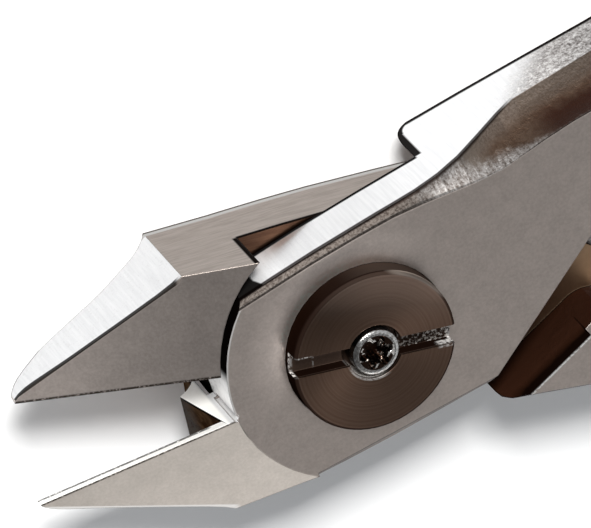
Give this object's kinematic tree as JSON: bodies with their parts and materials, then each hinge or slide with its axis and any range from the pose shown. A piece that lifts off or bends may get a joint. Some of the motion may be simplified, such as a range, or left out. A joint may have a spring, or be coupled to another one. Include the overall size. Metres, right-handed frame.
{
  "type": "side cutter",
  "caption": "Small side cutter with a lap joint on a slotted pivot screw, bevelled jaws that stand open, leaf return springs between the handles and soft hand grips.",
  "frame": {"origin": "where the pivot axis meets the joint's flat back face, jaws open", "axes": "+Z along the pivot axis, from the back face to the screw head; +X along the tool, from the jaws to the grips; +Y towards the upper handle"},
  "size_m": [0.1099, 0.057, 0.0096],
  "materials": {
    "half_steel": "satin ground tool steel",
    "screw_black": "blackened, turned",
    "lock_steel": "bright",
    "spring_steel": "satin spring steel",
    "rivet_steel": "satin",
    "grip_core": "matt hard plastic",
    "grip_cover": "soft, fine grained"
  },
  "bodies": {
    "back_body": {"back_half": "half_steel", "pivot_screw": "screw_black", "lock_screw": "lock_steel", "back_return_spring": "spring_steel", "back_spring_rivet": "rivet_steel", "back_grip_core": "grip_core", "back_grip_cover": "grip_cover"},
    "front_body": {"front_half": "half_steel", "front_return_spring": "spring_steel", "front_spring_rivet": "rivet_steel", "front_grip_core": "grip_core", "front_grip_cover": "grip_cover"}
  },
  "joints": [
    {"name": "jaw_pivot", "type": "hinge", "parent": "back_body", "child": "front_body", "pos_m": [0, 0, 0.0029], "axis": [0, 0, 1], "range_deg": [-19.4, 0], "stiffness_Nm_per_rad": 0.6, "springref_deg": 6.88, "deforming": ["front_return_spring", "back_return_spring"]}
  ]
}
